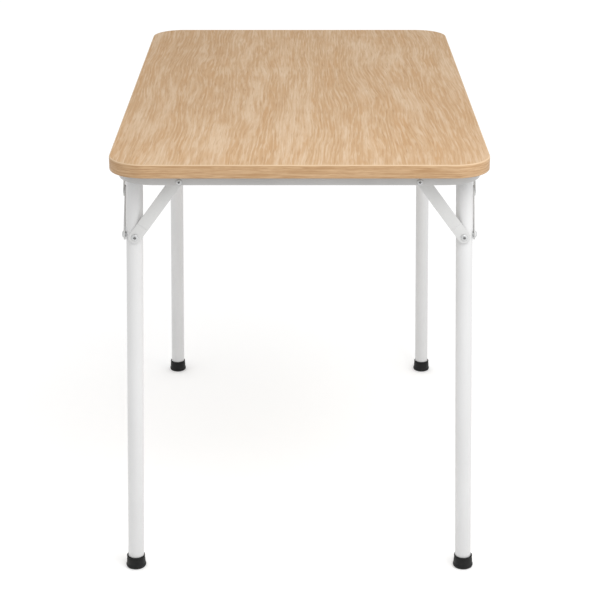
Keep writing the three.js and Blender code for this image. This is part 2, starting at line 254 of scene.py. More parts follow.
def tone(red, green, blue):
    # a screen colour from 0 to 255, as the light that a shader takes
    def light(share):
        return share / 12.92 if share < 0.04 else ((share + 0.055) / 1.055) ** 2.4

    return tuple(light(value / 255) for value in (red, green, blue)) + (1,)


class Signal:
    # a shader socket that takes part in sums
    def __init__(self, finish, socket):
        self.finish, self.socket = finish, socket

    def maths(self, operation, first, second=0.0):
        return self.finish.node("ShaderNodeMath", {"operation": operation}, {0: first, 1: second})

    def __add__(self, other):
        return self.maths("ADD", self, other)

    def __mul__(self, other):
        return self.maths("MULTIPLY", self, other)

    def __sub__(self, other):
        return self.maths("SUBTRACT", self, other)

    def __rsub__(self, other):
        return self.maths("SUBTRACT", other, self)

    __radd__ = __add__
    __rmul__ = __mul__


class Finish:
    def __init__(self, name, **constants):
        self.material = bpy.data.materials.new(name)
        self.material.use_nodes = True
        self.tree = self.material.node_tree
        self.shader = self.tree.nodes["Principled BSDF"]
        for key, value in constants.items():
            self.shader.inputs[key.replace("_", " ")].default_value = value

    def node(self, kind, settings, sockets, output=0):
        node = self.tree.nodes.new(kind)
        for key, value in settings.items():
            setattr(node, key, value)
        for key, value in sockets.items():
            self.feed(node.inputs[key], value)
        return Signal(self, node.outputs[output])

    def feed(self, socket, value):
        if isinstance(value, Signal):
            self.tree.links.new(value.socket, socket)
        else:
            socket.default_value = value

    def place(self, scale=(1, 1, 1), shift=(0, 0, 0)):
        where = self.node("ShaderNodeTexCoord", {}, {}, "Object")
        return self.node("ShaderNodeMapping", {}, {"Vector": where, "Scale": scale, "Location": shift})

    def onMap(self, name, scale):
        where = self.node("ShaderNodeUVMap", {"uv_map": name}, {})
        return self.node("ShaderNodeMapping", {}, {"Vector": where, "Scale": scale})

    def part(self, where, axis):
        return self.node("ShaderNodeSeparateXYZ", {}, {"Vector": where}, axis)

    def noise(self, where, detail=2.0, roughness=0.5, distortion=0.0):
        sockets = {"Vector": where, "Scale": 1.0, "Detail": detail}
        sockets.update({"Roughness": roughness, "Distortion": distortion})
        return self.node("ShaderNodeTexNoise", {}, sockets)

    def fade(self, value, low, high, start=0.0, finish=1.0):
        sockets = {0: value, 1: low, 2: high, 3: start, 4: finish}
        return self.node("ShaderNodeMapRange", {"interpolation_type": "SMOOTHSTEP"}, sockets)

    def blend(self, share, first, second):
        return self.node("ShaderNodeMix", {"data_type": "RGBA"}, {0: share, 6: first, 7: second}, 2)

    def bump(self, height, depth):
        normal = self.node("ShaderNodeBump", {}, {"Height": height, "Distance": depth, "Strength": 1.0})
        self.feed(self.shader.inputs["Normal"], normal)

    def colour(self, value):
        self.feed(self.shader.inputs["Base Color"], value)

    def roughness(self, value):
        self.feed(self.shader.inputs["Roughness"], value)


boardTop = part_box("top_laminate")[1].z
oak = {
    "cream": tone(210, 187, 160),
    "light": tone(197, 167, 132),
    "middle": tone(184, 150, 113),
    "amber": tone(184, 144, 100),
    "deep": tone(152, 118, 84),
    "rings": 165,                           # growth lines in a metre across the board
    "wander": 0.10,                         # how far the grain swings from straight
    "ripple": 0.0045,                       # how far it ripples where it is calm, and more where it curls
    "relief": 0.00006,
}
bandOak = {
    "dark": tone(170, 136, 99),
    "light": tone(191, 160, 125),
    "line": tone(150, 114, 77),
    "pore": tone(132, 98, 65),
    "arris": tone(208, 182, 150),           # the upper corner, lighter: a painted highlight
    "highlightFrom": 0.0020,                    # how far below the top its tone starts, and where it is full
    "highlightTo": 0.0009,
}
tones = {
    "chipDark": tone(150, 116, 82),
    "chipLight": tone(206, 176, 138),
    "chipDust": tone(120, 90, 62),
    "backingDark": tone(152, 138, 118),
    "backingLight": tone(164, 150, 130),
    "backingFibre": tone(138, 122, 101),
    "coatSpeck": tone(150, 150, 148),
    "zincDark": tone(178, 179, 180),
    "zincLight": tone(202, 203, 203),
    "zincScuff": tone(140, 141, 142),
    # the rivets' holes: dark steel, darkened further as painted shade in the hollow
    "mandrelShadeDark": tone(44, 44, 45),
    "mandrelShadeLight": tone(74, 74, 75),
    "rubberDark": tone(13, 13, 14),
    "rubberLight": tone(22, 22, 22),
    "rubberWorn": tone(66, 64, 61),
    "plasticDark": tone(178, 179, 178),
    "plasticLight": tone(194, 195, 194),
}
coats = {                                   # light tone, dark tone and roughness
    # the braces' and stays' coat is the white paint made darker: painted shade from the bow and board above
    "shadedBraceCoat": (tone(200, 200, 199), tone(195, 195, 194), 0.38),
    "whiteLegCoat": (tone(208, 208, 208), tone(203, 203, 203), 0.34),
    # the bows' coat is the white paint made darker: painted shade under the board's overhang
    "shadedBowCoat": (tone(177, 176, 175), tone(171, 170, 169), 0.38),
    "whiteBracketCoat": (tone(210, 210, 209), tone(205, 205, 204), 0.36),
}


def makeOakTop():
    finish = Finish("oakTop", Specular_IOR_Level=0.06)
    wander = finish.noise(finish.place((4.0, 1.0, 1), (3.1, 1.7, 0)), 3, 0.5)
    ripple = finish.noise(finish.place((26, 5, 1)), 3, 0.5)
    x, y = finish.part(finish.place(), "X"), finish.part(finish.place(), "Y")
    curl = finish.fade(finish.noise(finish.place((7, 2.2, 1), (0.4, 2.6, 0)), 2), 0.5, 0.68)
    flow = x + wander * oak["wander"] + ripple * (curl * 1.6 + 0.6) * oak["ripple"]

    def alongGrain(fine, long, seed):
        # noise drawn out along the flow of the grain
        where = {"X": flow * fine, "Y": y * long + seed, "Z": seed}
        return finish.node("ShaderNodeCombineXYZ", {}, where)

    wave = flow.maths("SINE", flow * (oak["rings"] * 2 * pi)) * 0.5 + 0.5
    strength = finish.fade(finish.noise(alongGrain(18, 5, 9), 3), 0.35, 0.65)
    growth = finish.fade(wave, 0.3, 0.95) * (0.35 + strength * 0.65)
    streak = finish.fade(finish.noise(alongGrain(52, 3.6, 0.4), 5, 0.66), 0.44, 0.66)
    fleck = finish.fade(finish.noise(alongGrain(270, 12, 2), 2, 0.6), 0.48, 0.64)
    pore = finish.fade(finish.noise(alongGrain(640, 20, 4), 2, 0.5), 0.54, 0.72)
    stain = finish.fade(finish.noise(alongGrain(30, 3, 6), 5, 0.65), 0.46, 0.66)
    patch = finish.noise(finish.place((4, 1.6, 1), (5, 5, 0)), 2)
    base = finish.blend(growth * 0.7, oak["middle"], oak["light"])
    base = finish.blend(streak * 0.58, base, oak["cream"])
    base = finish.blend(stain * 0.5, base, oak["amber"])
    base = finish.blend(fleck * 0.5, base, oak["cream"])
    base = finish.blend(pore * 0.36, base, oak["deep"])
    base = finish.blend(finish.fade(patch, 0.35, 0.7) * 0.12, base, oak["deep"])
    finish.colour(base)
    finish.roughness(0.5 + pore * 0.16 + patch * 0.08)
    finish.bump(growth * 0.3 + fleck * 0.3 - pore * 0.8, oak["relief"])
    return finish.material


def makeOakEdge():
    # the grain runs along the edge, on a map of the distance round it and the height
    finish = Finish("oakEdge", Specular_IOR_Level=0.25)
    broad = finish.noise(finish.onMap("grainRun", (11, 330, 1)), 3, 0.6, 0.4)
    fine = finish.noise(finish.onMap("grainRun", (34, 1100, 1)), 2, 0.6)
    pore = finish.fade(finish.noise(finish.onMap("grainRun", (60, 1700, 1)), 2, 0.5), 0.56, 0.7)
    height = finish.part(finish.place(), "Z")
    # the band grows lighter towards its top: a painted highlight along the upper corner
    arris = finish.fade(height, boardTop - bandOak["highlightFrom"], boardTop - bandOak["highlightTo"])
    base = finish.blend(finish.fade(broad, 0.35, 0.65), bandOak["dark"], bandOak["light"])
    base = finish.blend(finish.fade(fine, 0.4, 0.7) * 0.7, base, bandOak["line"])
    base = finish.blend(pore * 0.35, base, bandOak["pore"])
    base = finish.blend(arris * 0.8, base, bandOak["arris"])
    finish.colour(base)
    finish.roughness(0.44 + fine * 0.15)
    finish.bump(broad * 0.3 + fine * 0.4 - pore * 0.6, oak["relief"])
    return finish.material


def makeCore():
    finish = Finish("particleBoard", Specular_IOR_Level=0.2)
    where = finish.place((260, 260, 520))
    chips = finish.node("ShaderNodeTexVoronoi", {}, {"Vector": where, "Scale": 1.0}, "Color")
    shade = finish.node("ShaderNodeSeparateColor", {}, {"Color": chips}, 0)
    dust = finish.noise(finish.place((900, 900, 900)), 2)
    base = finish.blend(shade, tones["chipDark"], tones["chipLight"])
    finish.colour(finish.blend(dust * 0.4, base, tones["chipDust"]))
    finish.roughness(0.8 + dust * 0.1)
    finish.bump(shade * 0.6 + dust * 0.4, 0.0002)
    return finish.material


def makeBacking():
    finish = Finish("backingSheet", Specular_IOR_Level=0.3)
    cloud = finish.noise(finish.place((6, 6, 1)), 3)
    fibre = finish.noise(finish.place((700, 90, 1)), 3, 0.6)
    base = finish.blend(cloud, tones["backingDark"], tones["backingLight"])
    finish.colour(finish.blend(finish.fade(fibre, 0.4, 0.75) * 0.3, base, tones["backingFibre"]))
    finish.roughness(0.55 + fibre * 0.12)
    finish.bump(fibre, 0.00005)
    return finish.material


def makeCoat(name, light, dark, rough):
    # powder coat on steel: a fine orange peel, and a slight unevenness of tone
    finish = Finish(name, Specular_IOR_Level=0.5)
    cloud = finish.noise(finish.place((16, 16, 5)), 3)
    peel = finish.noise(finish.place((520, 520, 520)), 1.5)
    speck = finish.fade(finish.noise(finish.place((1500, 1500, 1500)), 1), 0.66, 0.76)
    base = finish.blend(finish.fade(cloud, 0.3, 0.7), dark, light)
    finish.colour(finish.blend(speck * 0.3, base, tones["coatSpeck"]))
    finish.roughness(rough + cloud * 0.08 + speck * 0.1)
    finish.bump(peel * 0.8 - speck * 0.2, 0.00004)
    return finish.material


def makeZinc():
    finish = Finish("zincRivet", Metallic=0.35)
    spangle = finish.noise(finish.place((420, 420, 420)), 3, 0.6)
    scuff = finish.fade(finish.noise(finish.place((900, 900, 90)), 2, 0.7), 0.55, 0.75)
    base = finish.blend(spangle, tones["zincDark"], tones["zincLight"])
    finish.colour(finish.blend(scuff * 0.4, base, tones["zincScuff"]))
    finish.roughness(0.34 + spangle * 0.14 + scuff * 0.15)
    finish.bump(spangle * 0.5 - scuff * 0.5, 0.00003)
    return finish.material


def makeMandrelAndHoleShade():
    # dark steel in each rivet's hole, darkened further as painted shade in the hollow
    finish = Finish("mandrelSteelAndHoleShade", Metallic=0.4)
    holeMottle = finish.noise(finish.place((900, 900, 900)), 2)
    finish.colour(finish.blend(holeMottle, tones["mandrelShadeDark"], tones["mandrelShadeLight"]))
    finish.roughness(0.5 + holeMottle * 0.2)
    return finish.material


def makeRubber():
    finish = Finish("blackRubber", Specular_IOR_Level=0.25)
    dust = finish.noise(finish.place((60, 60, 40)), 4, 0.6)
    grain = finish.noise(finish.place((1100, 1100, 1100)), 2)
    height = finish.part(finish.place(), "Z")
    worn = finish.fade(height, 0.0, 0.004, 1.0, 0.0)
    base = finish.blend(finish.fade(dust, 0.4, 0.75), tones["rubberDark"], tones["rubberLight"])
    finish.colour(finish.blend(worn * dust * 0.5, base, tones["rubberWorn"]))
    finish.roughness(0.42 + dust * 0.2 + worn * 0.15)
    finish.bump(grain * 0.6 + dust * 0.4, 0.00006)
    return finish.material


def makePlastic():
    finish = Finish("greyPlastic", Specular_IOR_Level=0.45)
    grain = finish.noise(finish.place((700, 700, 700)), 2)
    cloud = finish.noise(finish.place((30, 30, 30)), 2)
    finish.colour(finish.blend(cloud, tones["plasticDark"], tones["plasticLight"]))
    finish.roughness(0.42 + grain * 0.12)
    finish.bump(grain, 0.00005)
    return finish.material


oakTop, oakEdge, coreBoard, backingSheet = makeOakTop(), makeOakEdge(), makeCore(), makeBacking()
braceShadedCoat, legCoat, bowShadedCoat, bracketCoat = (makeCoat(name, *values) for name, values in coats.items())
zinc, mandrelAndShade, rubber, plastic = makeZinc(), makeMandrelAndHoleShade(), makeRubber(), makePlastic()
print("finishes made")


# the board: an edge band round a core, a laminate on top and a backing below

board = {
    "cornerRadius": 0.060,
    "cornerSteps": 28,
    "band": 0.0020,                         # thickness of the edge band
    "arris": 0.0018,                        # rounding of its upper and lower corners
    "arrisSteps": 4,
    "seam": 0.00012,                        # the hairline between laminate and band
}
boardLow, boardHigh = (Vector(corner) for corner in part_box("edge_band"))
boardHalf = Vector(((boardHigh.x - boardLow.x) / 2, (boardHigh.y - boardLow.y) / 2))


def outlineInset(point, half, radius):
    # how far a point lies inside a rectangle with round corners
    x, y = half[0] - abs(point.x), half[1] - abs(point.y)
    if x < radius and y < radius:
        return radius - hypot(radius - x, radius - y)
    return min(x, y)


def outlineRun(x, y, half, radius):
    # the distance round the outline, anticlockwise from the right side's near corner
    wide, long = half
    run = 0
    for _ in range(4):
        flat = long - radius
        if x >= wide - radius and y >= -flat:
            if y <= flat:
                return run + y + flat
            return run + 2 * flat + radius * atan2(y - flat, x - wide + radius)
        run += 2 * flat + radius * pi / 2
        x, y = y, -x
        wide, long = long, wide
    return run


def roundedBoard(name, inset, top, bottom, rim):
    radius = board["cornerRadius"] - inset
    wide, long = 2 * (boardHalf.x - inset), 2 * (boardHalf.y - inset)
    piece = sheet(name, Vector((0, 0, top)), wide, long)
    edit(piece)
    bpy.ops.mesh.select_all(action="SELECT")
    roundCorners(radius, board["cornerSteps"])
    bpy.ops.mesh.select_all(action="SELECT")
    extrude((0, 0, bottom - top))
    tidyNormals()
    leave()
    softenRims(piece, rim, 1)
    return piece


def makeBand():
    radius, thick = board["cornerRadius"], board["band"]
    piece = sheet("edgeBand", Vector((0, 0, boardHigh.z)), 2 * boardHalf.x, 2 * boardHalf.y)
    edit(piece)
    bpy.ops.mesh.select_all(action="SELECT")
    roundCorners(radius, board["cornerSteps"])
    bpy.ops.mesh.select_all(action="SELECT")
    bpy.ops.mesh.inset(thickness=thick)
    bpy.ops.mesh.delete(type="FACE")        # the inner face is what the inset leaves selected
    bpy.ops.mesh.select_all(action="SELECT")
    extrude((0, 0, boardLow.z - boardHigh.z))
    tidyNormals()
    levels = (boardLow.z, boardHigh.z)
    choose(piece, "edges", lambda edge: all(
        min(abs(v.co.z - level) for level in levels) < hair
        and outlineInset(v.co, boardHalf, radius) < hair * 3 for v in edge.verts)
        and abs(edge.verts[0].co.z - edge.verts[1].co.z) < hair)
    bevelEdges(board["arris"], board["arrisSteps"])
    leave()
    mapGrain(piece)
    return piece


def mapGrain(piece):
    # the distance round the edge and the height, as the map that the grain follows
    radius = board["cornerRadius"]
    whole = 4 * (boardHalf.x + boardHalf.y) - 8 * radius + 2 * pi * radius
    runs = piece.data.uv_layers.new(name="grainRun")
    for face in piece.data.polygons:
        middle = outlineRun(face.center.x, face.center.y, boardHalf, radius)
        for loop in face.loop_indices:
            spot = piece.data.vertices[piece.data.loops[loop].vertex_index].co
            run = outlineRun(spot.x, spot.y, boardHalf, radius)
            if run - middle > whole / 2:
                run -= whole
            elif middle - run > whole / 2:
                run += whole
            runs.data[loop].uv = (run, spot.z)


coreLow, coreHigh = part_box("top_core")
hand(makeBand(), oakEdge, "edge_band", "table_top", "edge_band")
laminate = roundedBoard("topLaminate", board["band"], boardHigh.z, coreHigh.z, board["seam"])
hand(laminate, oakTop, "laminate", "table_top", "top_laminate")
backing = roundedBoard("topBacking", board["band"], coreLow.z, boardLow.z, board["seam"])
hand(backing, backingSheet, "backing", "table_top", "top_backing")
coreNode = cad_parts["top_core"]
coreNode.data.materials.clear()
coreNode.data.materials.append(coreBoard)
print("board done")


# the bows: pressed channels under each end of the board

bow = {
    "cornerRadius": 0.060,
    "cornerSteps": 24,
    "flange": 0.014,                        # width of the upper flange
    "sheet": 0.0018,                        # steel thickness
    "press": 0.0028,                        # rounding of the fold between web and flange
    "pressSteps": 4,
    "rim": 0.0005,
    "reach": 0.5,                           # half the length of the rectangle that its outline ends
    "spare": 0.010,                         # what is cut off square behind the arms' ends
}
bowLow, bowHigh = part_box("near_end_bow")
bowMiddle = Vector((0, bowLow.y + bow["reach"], 0))
bowHalf = (bowHigh.x, bow["reach"])


def onBow(point):
    return outlineInset(point - bowMiddle, bowHalf, bow["cornerRadius"]) < hair * 3


def makeBow():
    spare = bow["flange"] + bow["spare"]
    middle = Vector((0, (bowLow.y + bowHigh.y + spare) / 2, bowHigh.z))
    long = bowHigh.y + spare - bowLow.y
    piece = sheet("nearBow", middle, bowHigh.x - bowLow.x, long)
    edit(piece)
    choose(piece, "verts", lambda vertex: vertex.co.y < bowLow.y + hair)
    roundCorners(bow["cornerRadius"], bow["cornerSteps"])
    bpy.ops.mesh.select_all(action="SELECT")
    bpy.ops.mesh.inset(thickness=bow["flange"])
    bpy.ops.mesh.delete(type="FACE")
    bpy.ops.mesh.select_all(action="SELECT")
    bpy.ops.mesh.bisect(plane_co=(0, bowHigh.y, 0), plane_no=(0, 1, 0), clear_outer=True)
    choose(piece, "edges", lambda edge: edge.is_boundary and all(onBow(v.co) for v in edge.verts))
    extrude((0, 0, bowLow.z - bowHigh.z))
    choose(piece, "edges", lambda edge: not edge.is_boundary
           and all(v.co.z > bowHigh.z - hair and onBow(v.co) for v in edge.verts))
    bevelEdges(bow["press"], bow["pressSteps"])
    bpy.ops.mesh.select_all(action="SELECT")
    bpy.ops.mesh.normals_make_consistent(inside=False)
    leave()
    web = next(face for face in piece.data.polygons if abs(face.normal.x) > 0.99)
    outwardWeb = web.normal.x * web.center.x > 0
    addModifier(piece, "SOLIDIFY", thickness=bow["sheet"], offset=-1 if outwardWeb else 1)
    softenRims(piece, bow["rim"], 3)
    return piece


nearBow = makeBow()
farBow = copyTo(nearBow, "farBow", Matrix.Diagonal((1, -1, 1, 1)))
hand(nearBow, bowShadedCoat, "bow_steel", "table_top", "near_end_bow")
hand(farBow, bowShadedCoat, "bow_steel", "table_top", "far_end_bow")
print("bows done")


# the legs: tubes that splay towards the floor, with plugs, ferrules and a cross tube at each end

leg = {"sides": 64, "rim": 0.0004}
cap = {"sides": 40, "steps": 8, "edge": 0.0016, "plugInset": 0.0018, "plugDepth": 0.010}
tube = {"sides": 48, "sunk": 0.007}
bead = {"radius": 0.0013, "steps": 56, "proud": 0.0002, "sunk": 0.0003, "lump": 0.0002, "lumps": 14}
ferrule = {
    "sides": 64,
    "hollow": ((0.62, 0.0010), (0.66, 0)),  # under the sole: shares of its radius, and heights
    "sole": 0.0011,                         # how far the sole stands out beyond the leg
    "foot": ((0.00255, 0.0009), (0.00345, 0.0024), (0.00375, 0.0042), (0.00345, 0.0058), (0.00275, 0.0068)),
    "waist": ((0.0026, 0.0074), (0.0027, 0.0082), (0.0024, 0.0140), (0.0019, 0.0184)),
    "groove": ((0.0014, 0.0188), (0.0014, 0.0192)),
    "rim": ((0.0022, 0.0197), (0.0022, 0.0212), (0.0015, 0.0220), (0.0006, 0.0220), (-0.0004, 0.0210)),
}


def legLine(end):
    # the middle of the leg at its foot and at its head, and its radius
    low, high = nearBox(end, "leg")
    radius = (high.y - low.y) / 2
    middle = (low.y + high.y) / 2
    return Vector((high.x - radius, middle, low.z)), Vector((low.x + radius, middle, high.z)), radius


def legAt(end, height):
    foot, head, _ = legLine(end)
    return foot.lerp(head, (height - foot.z) / (head.z - foot.z))


def makeLeg(end):
    foot, head, radius = legLine(end)
    deselectAll()
    bpy.ops.mesh.primitive_circle_add(vertices=leg["sides"], radius=radius, fill_type="NGON")
    piece = settle(named("leg"), Matrix.Translation(foot))
    edit(piece)
    bpy.ops.mesh.select_all(action="SELECT")
    extrude(head - foot)
    tidyNormals()
    leave()
    softenRims(piece, leg["rim"])
    return piece


def makeCap(end):
    low, high = nearBox(end, "leg_cap")
    _, head, legRadius = legLine(end)
    radius, rise = (high.x - low.x) / 2, high.z - head.z
    plug, edge = legRadius - cap["plugInset"], cap["edge"]
    profile = [(plug, -cap["plugDepth"]), (plug, 0), (radius, 0), (radius, edge)]
    for step in range(1, cap["steps"]):
        turn = step / cap["steps"] * pi / 2
        profile.append((radius * cos(turn), edge + (rise - edge) * sin(turn)))
    profile.append((0, rise))
    piece = turned("cap", profile, cap["sides"])
    return settle(piece, Matrix.Translation(head))


def makeFerrule(end):
    foot, _, radius = legLine(end)
    sole = radius + ferrule["sole"]
    profile = [(sole * share, height) for share, height in ferrule["hollow"]] + [(sole, 0)]
    for stretch in ("foot", "waist", "groove", "rim"):
        profile += [(radius + beyond, height) for beyond, height in ferrule[stretch]]
    piece = turned("ferrule", profile, ferrule["sides"])
    return settle(piece, Matrix.Translation((foot.x, foot.y, 0)))


def makeCrossTube(end):
    low, high = (Vector(corner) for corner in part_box(f"{end}_cross_tube"))
    radius = (high.z - low.z) / 2
    axis = (low + high) / 2
    reach = legAt(end, axis.z).x - tube["sunk"]
    piece = turned(f"{end}CrossTube", [(radius, -reach), (radius, reach)], tube["sides"])
    settle(piece, aimed(axis, across))
    hand(piece, legCoat, "frame_steel", f"{end}_leg_frame", f"{end}_cross_tube")


def makeBead(end):
    # a weld bead where the cross tube meets the round of the leg
    low, high = (Vector(corner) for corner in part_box(f"{end}_cross_tube"))
    radius = (high.z - low.z) / 2
    _, _, legRadius = legLine(end)
    axis = legAt(end, (low.z + high.z) / 2)
    deselectAll()
    bpy.ops.mesh.primitive_torus_add(major_radius=radius + bead["proud"], minor_radius=bead["radius"],
                                     major_segments=bead["steps"], minor_segments=8)
    piece = settle(named("bead"), aimed(Vector((0, axis.y, axis.z)), across))
    edit(piece)
    bpy.ops.mesh.select_all(action="SELECT")
    bpy.ops.mesh.subdivide(number_cuts=1, smoothness=0)
    leave()
    for vertex in piece.data.vertices:
        off = min(abs(vertex.co.y - axis.y), legRadius)
        lump = bead["lump"] * sin(bead["lumps"] * atan2(vertex.co.z - axis.z, vertex.co.y - axis.y))
        vertex.co.x += axis.x - sqrt(legRadius ** 2 - off ** 2) - bead["sunk"] + lump
    return piece


for end in ("near", "far"):
    setDown(makeLeg(end), end, "Leg", legCoat, "frame_steel", "{end}_leg_frame", "{end}_{side}_leg")
    setDown(makeCap(end), end, "LegCap", plastic, "plastic_cap", "{end}_leg_frame", "{end}_{side}_leg_cap")
    setDown(makeFerrule(end), end, "Ferrule", rubber, "rubber_foot", "{end}_leg_frame",
            "{end}_{side}_ferrule")
    makeCrossTube(end)
    setDown(makeBead(end), end, "WeldBead", legCoat, "frame_steel", "{end}_leg_frame")
print("legs done")


# straps: braces, stays, hangers and anchor plates are all cut from strip

tipSlack = 0.00005                          # a tip's rounding stops just short of half the strip's width
brace = {
    "width": 0.020,
    "thickness": 0.0025,
    "flat": 0.022,                          # from the rivet to the step
    "step": 0.0012,
    "stepRun": 0.0016,
    "rim": 0.0004,
}
stay = {"width": 0.018, "rim": 0.00035}
hanger = {
    "width": 0.022,
    "sheet": 0.0020,
    "bend": 0.0032,
    "wrap": 315,                            # degrees that the near loop goes round its tube
    "leafEnd": 0.001,                       # from the near leaf's end to the loop
    "tubeGap": 0.0003,
    "stemGap": 0.0011,                      # half the gap between the far loop's two stems
    "tabRise": 0.0005,
    "tabCorner": 0.004,
    "rim": 0.0004,
}
anchor = {"sheet": 0.0020, "corner": 0.008, "bend": 0.003, "rim": 0.0004}


def strap(name, path, side, wide, thickness, rim, tipRadius=0, tips=(0, -1)):
    piece = ribbon(name, path, side, wide)
    if tipRadius:
        roundTips(piece, path, tipRadius, 12, tips)
    addModifier(piece, "SOLIDIFY", thickness=thickness, offset=0, use_even_offset=True)
    softenRims(piece, rim)
    return piece


def makeBrace(end):
    low, high = nearBox(end, "brace")
    rivetLow, rivetHigh = nearBox(end, "brace_rivet")
    tubeLow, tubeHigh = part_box(f"{end}_cross_tube")
    half, thick = brace["width"] / 2, brace["thickness"]
    foot = Vector(((rivetLow.x + rivetHigh.x) / 2, rivetHigh.y, (rivetLow.z + rivetHigh.z) / 2))
    head = Vector((low.x + half, rivetHigh.y, (tubeLow.z + tubeHigh.z) / 2))
    run, length = (head - foot).normalized(), (head - foot).length
    fold = [(-half, 0), (brace["flat"], 0), (brace["flat"] + brace["stepRun"], brace["step"]),
            (length + half, rivetHigh.y - high.y)]
    path = [foot + run * reach - along * (out + thick / 2) for reach, out in fold]
    side = run.cross(along)
    return strap("brace", path, side, brace["width"], thick, brace["rim"], half - tipSlack)


def makeStay(end, kind):
    # a flat link between the middles of two rivets
    low, high = nearBox(end, f"{kind}_stay_link")
    half = stay["width"] / 2
    foot = Vector(((low.x + high.x) / 2, low.y + half, low.z + half))
    head = Vector((foot.x, high.y - half, high.z - half))
    run = (head - foot).normalized()
    path = [foot - run * half, head + run * half]
    side = run.cross(across)
    return strap("stay", path, side, stay["width"], high.x - low.x, stay["rim"], half - tipSlack)


def loopPath(axis, radius, start, sweep, steps=40):
    turns = (radians(start + sweep * step / steps) for step in range(steps + 1))
    return [axis + Vector((0, cos(turn), sin(turn))) * radius for turn in turns]


def makeHanger(end):
    # a tab on the bow's web, a leaf under the board and a loop round the cross tube
    low, high = nearBox(end, "hanger")
    tubeLow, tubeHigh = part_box(f"{end}_cross_tube")
    thick, wide = hanger["sheet"], hanger["width"]
    middle = low.x + wide / 2
    webFace = bowLow.y + bow["sheet"] + thick / 2
    leafHeight = bowHigh.z - bow["sheet"] - thick / 2
    axis = Vector((middle, -abs(tubeLow.y + tubeHigh.y) / 2, (tubeLow.z + tubeHigh.z) / 2))
    start = Vector((middle, webFace, bowLow.z + hanger["tabRise"]))
    corner = Vector((middle, webFace, leafHeight))
    if end == "near":
        radius = leafHeight - axis.z
        loop = loopPath(axis, radius, 90, -hanger["wrap"])
        path = bent([start, corner, loop[0] - along * hanger["leafEnd"]], hanger["bend"]) + loop
    else:
        radius = (tubeHigh.z - tubeLow.z) / 2 + hanger["tubeGap"] + thick / 2
        gap = hanger["stemGap"]
        apart = degrees(atan2(gap, radius))
        loop = loopPath(axis, radius, 90 + apart, 360 - 2 * apart)
        stem = Vector((middle, axis.y - gap, leafHeight))
        path = bent([start, corner, stem, loop[0]], hanger["bend"])[:-1] + loop
        path.append(Vector((middle, axis.y + gap, leafHeight - thick)))
    piece = ribbon("hanger", path, across, wide)
    edit(piece)
    tabTop = leafHeight - hanger["bend"] - hair
    choose(piece, "edges", lambda edge: all(
        v.co.x > middle and abs(v.co.y - webFace) < hair and v.co.z < tabTop + 2 * hair for v in edge.verts))
    extrude((high.x - low.x - wide, 0, 0))
    choose(piece, "verts", lambda vertex: vertex.co.x > high.x - hair)
    roundCorners(hanger["tabCorner"], 6)
    leave()
    addModifier(piece, "SOLIDIFY", thickness=thick, offset=0, use_even_offset=True)
    softenRims(piece, hanger["rim"])
    return piece


def makeAnchorPlate():
    low, high = nearBox("far", "anchor_plate")
    thick = anchor["sheet"]
    middle = (low.y + high.y) / 2
    plate = low.x + thick / 2
    height = bowHigh.z - bow["sheet"] - thick / 2
    corners = [Vector(corner) for corner in (
        (plate, middle, low.z), (plate, middle, height), (high.x, middle, height))]
    path = bent(corners, anchor["bend"])
    return strap("anchorPlate", path, along, high.y - low.y, thick, anchor["rim"], anchor["corner"], (0,))


for end in ("near", "far"):
    setDown(makeBrace(end), end, "Brace", braceShadedCoat, "frame_steel", "{end}_leg_frame", "{end}_{side}_brace")
    for kind in ("lower", "upper"):
        setDown(makeStay(end, kind), end, f"{kind.capitalize()}Stay", braceShadedCoat, "frame_steel",
                f"{{end}}_{{side}}_{kind}_stay", f"{{end}}_{{side}}_{kind}_stay_link")
    setDown(makeHanger(end), end, "Hanger", bracketCoat, "bracket_steel", "table_top", "{end}_{side}_hanger")
setDown(makeAnchorPlate(), "far", "AnchorPlate", bracketCoat, "bracket_steel", "table_top",
        "far_{side}_anchor_plate")
print("straps done")


# rivets and screws

rivet = {
    "sides": 36,
    "shank": 0.0024,
    "collar": 0.0042,
    "collarDepth": 0.0013,
    "headRise": 0.0028,
    "lowHead": 0.35,                        # a low head's share of the full rise
    "hole": 0.41,                           # the hole's share of the head
    "dome": ((0.98, 0), (1, 0.1), (0.97, 0.3), (0.86, 0.58), (0.72, 0.82), (0.56, 0.96)),
    "bore": ((1.12, 1), (1, 0.94), (0.94, -0.2), (0.4, -0.25), (0, -0.1)),
    "tail": ((0.0034, -0.0004), (0.0034, 0.0003), (0.0029, 0.0007), (0.0012, 0.0008)),
    "tailSides": 28,
    "proud": 0.0006,                        # how far a tail reaches past the CAD rivet's
    "flush": 0.0002,
    "buried": 0.0015,
}


def makeRivet(tail, face, tip, radius, collarTo=0.0):
    # a blind rivet: a shank from the tail to the face, and a domed head with the mandrel's hole, whose dark
    # finish is partly painted shade
    direction = (tip - tail).normalized()
    shank, rise, length = rivet["shank"], (tip - face).length, (face - tail).length
    hole = radius * rivet["hole"]
    profile = [(shank, -length)]
    if collarTo:
        collar, collarEnd = rivet["collar"], collarTo - length
        profile = [(collar, -length), (collar, collarEnd), (shank, collarEnd)]
    profile.append((shank, 0))
    profile += [(radius * wide, rise * high) for wide, high in rivet["dome"]]
    profile += [(hole * wide, rise * high) for wide, high in rivet["bore"]]
    piece = turned("rivet", profile, rivet["sides"])
    piece.data.materials.append(zinc)
    piece.data.materials.append(mandrelAndShade)
    # the faces in the hole take the dark finish, painted shade in the hollow
    for part in piece.data.polygons:
        inHole = hypot(part.center.x, part.center.y) < hole * 0.99 and part.center.z > -rise
        part.material_index = 1 if inHole else 0
    return settle(piece, aimed(face, direction))


